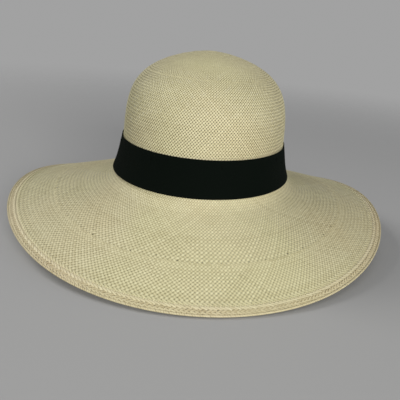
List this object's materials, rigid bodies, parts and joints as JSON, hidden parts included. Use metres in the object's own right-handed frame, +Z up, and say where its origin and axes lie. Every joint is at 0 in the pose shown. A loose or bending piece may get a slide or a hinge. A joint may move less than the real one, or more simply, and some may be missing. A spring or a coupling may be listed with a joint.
{
  "type": "straw sun hat",
  "caption": "Hand-woven straw hat with a round dome crown, a wide down-turned brim with a braided edge, a dark ribbon around the crown and a sweatband inside.",
  "frame": {"origin": "centre of the head opening, level with the lower edge of the ribbon", "axes": "+Z up through the crown, -Y towards the front of the hat, +X towards the wearer's left"},
  "size_m": [0.3757, 0.3861, 0.1795],
  "materials": {
    "straw": "natural palm straw, matt with a faint sheen",
    "straw_edge": "natural palm straw, plaited",
    "ribbon": "ribbed matt ribbon",
    "ribbon_thread": "matt thread",
    "sweatband": "woven cotton tape",
    "sweat_thread": "matt thread"
  },
  "bodies": {
    "root": {"crown_tip": "straw", "crown_side": "straw", "brim": "straw", "brim_edge": "straw_edge", "hatband": "ribbon", "hatband_keeper": "ribbon", "hatband_tacks": "ribbon_thread", "sweatband": "sweatband", "sweatband_stitches": "sweat_thread", "sweatband_tape": "sweatband"}
  },
  "joints": []
}
